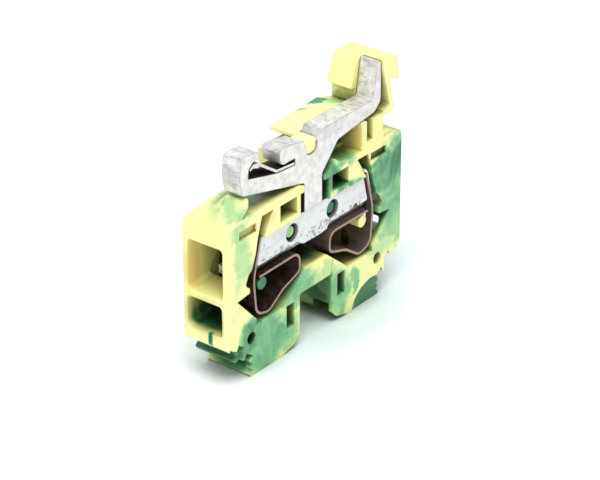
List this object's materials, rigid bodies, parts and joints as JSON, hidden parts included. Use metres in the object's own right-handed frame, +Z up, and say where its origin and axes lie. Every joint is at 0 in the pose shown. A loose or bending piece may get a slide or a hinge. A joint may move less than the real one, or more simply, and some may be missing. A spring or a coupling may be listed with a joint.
{
  "type": "din rail terminal block",
  "caption": "Protective-earth terminal block for a 35 mm top-hat rail: open-sided plastic housing, cage-clamp springs, current bar, steel rail foot and snap latch.",
  "frame": {"origin": "centre of the bounding box's bottom face, on the surface the block stands on", "axes": "+X along the block, towards the latch end; +Y through its thickness, towards the closed side; +Z up, from the marking side to the rail foot"},
  "size_m": [0.0524, 0.01, 0.0489],
  "materials": {
    "green_yellow_plastic": "satin",
    "plated_steel": "satin",
    "leaf_steel": "satin",
    "tinned_copper": "satin",
    "spring_steel": "satin"
  },
  "bodies": {
    "block": {"housing": "green_yellow_plastic", "rail_foot": "plated_steel", "contact_leaf_root": "leaf_steel", "current_bar": "tinned_copper", "clamp_spring_left": "spring_steel", "clamp_spring_right": "spring_steel"},
    "latch": {"rail_latch": "green_yellow_plastic"},
    "contact_leaf": {"contact_leaf_arm": "leaf_steel"},
    "left_cage": {"clamp_cage_left": "spring_steel"},
    "right_cage": {"clamp_cage_right": "spring_steel"}
  },
  "joints": [
    {"name": "latch_flex", "type": "hinge", "parent": "block", "child": "latch", "pos_m": [0.0202, 0, 0.0379], "axis": [0, 1, 0], "range_deg": [0, 12], "stiffness_Nm_per_rad": 0.2},
    {"name": "contact_leaf_flex", "type": "hinge", "parent": "block", "child": "contact_leaf", "pos_m": [-0.0111, -0.0026, 0.0384], "axis": [0, 1, 0], "range_deg": [-8, 0], "stiffness_Nm_per_rad": 0.05},
    {"name": "left_clamp_open", "type": "hinge", "parent": "block", "child": "left_cage", "pos_m": [-0.004, -0.0007, 0.021], "axis": [0, 1, 0], "range_deg": [0, 13], "stiffness_Nm_per_rad": 0.3},
    {"name": "right_clamp_open", "type": "hinge", "parent": "block", "child": "right_cage", "pos_m": [0.004, -0.0007, 0.021], "axis": [0, -1, 0], "range_deg": [0, 13], "stiffness_Nm_per_rad": 0.3}
  ]
}
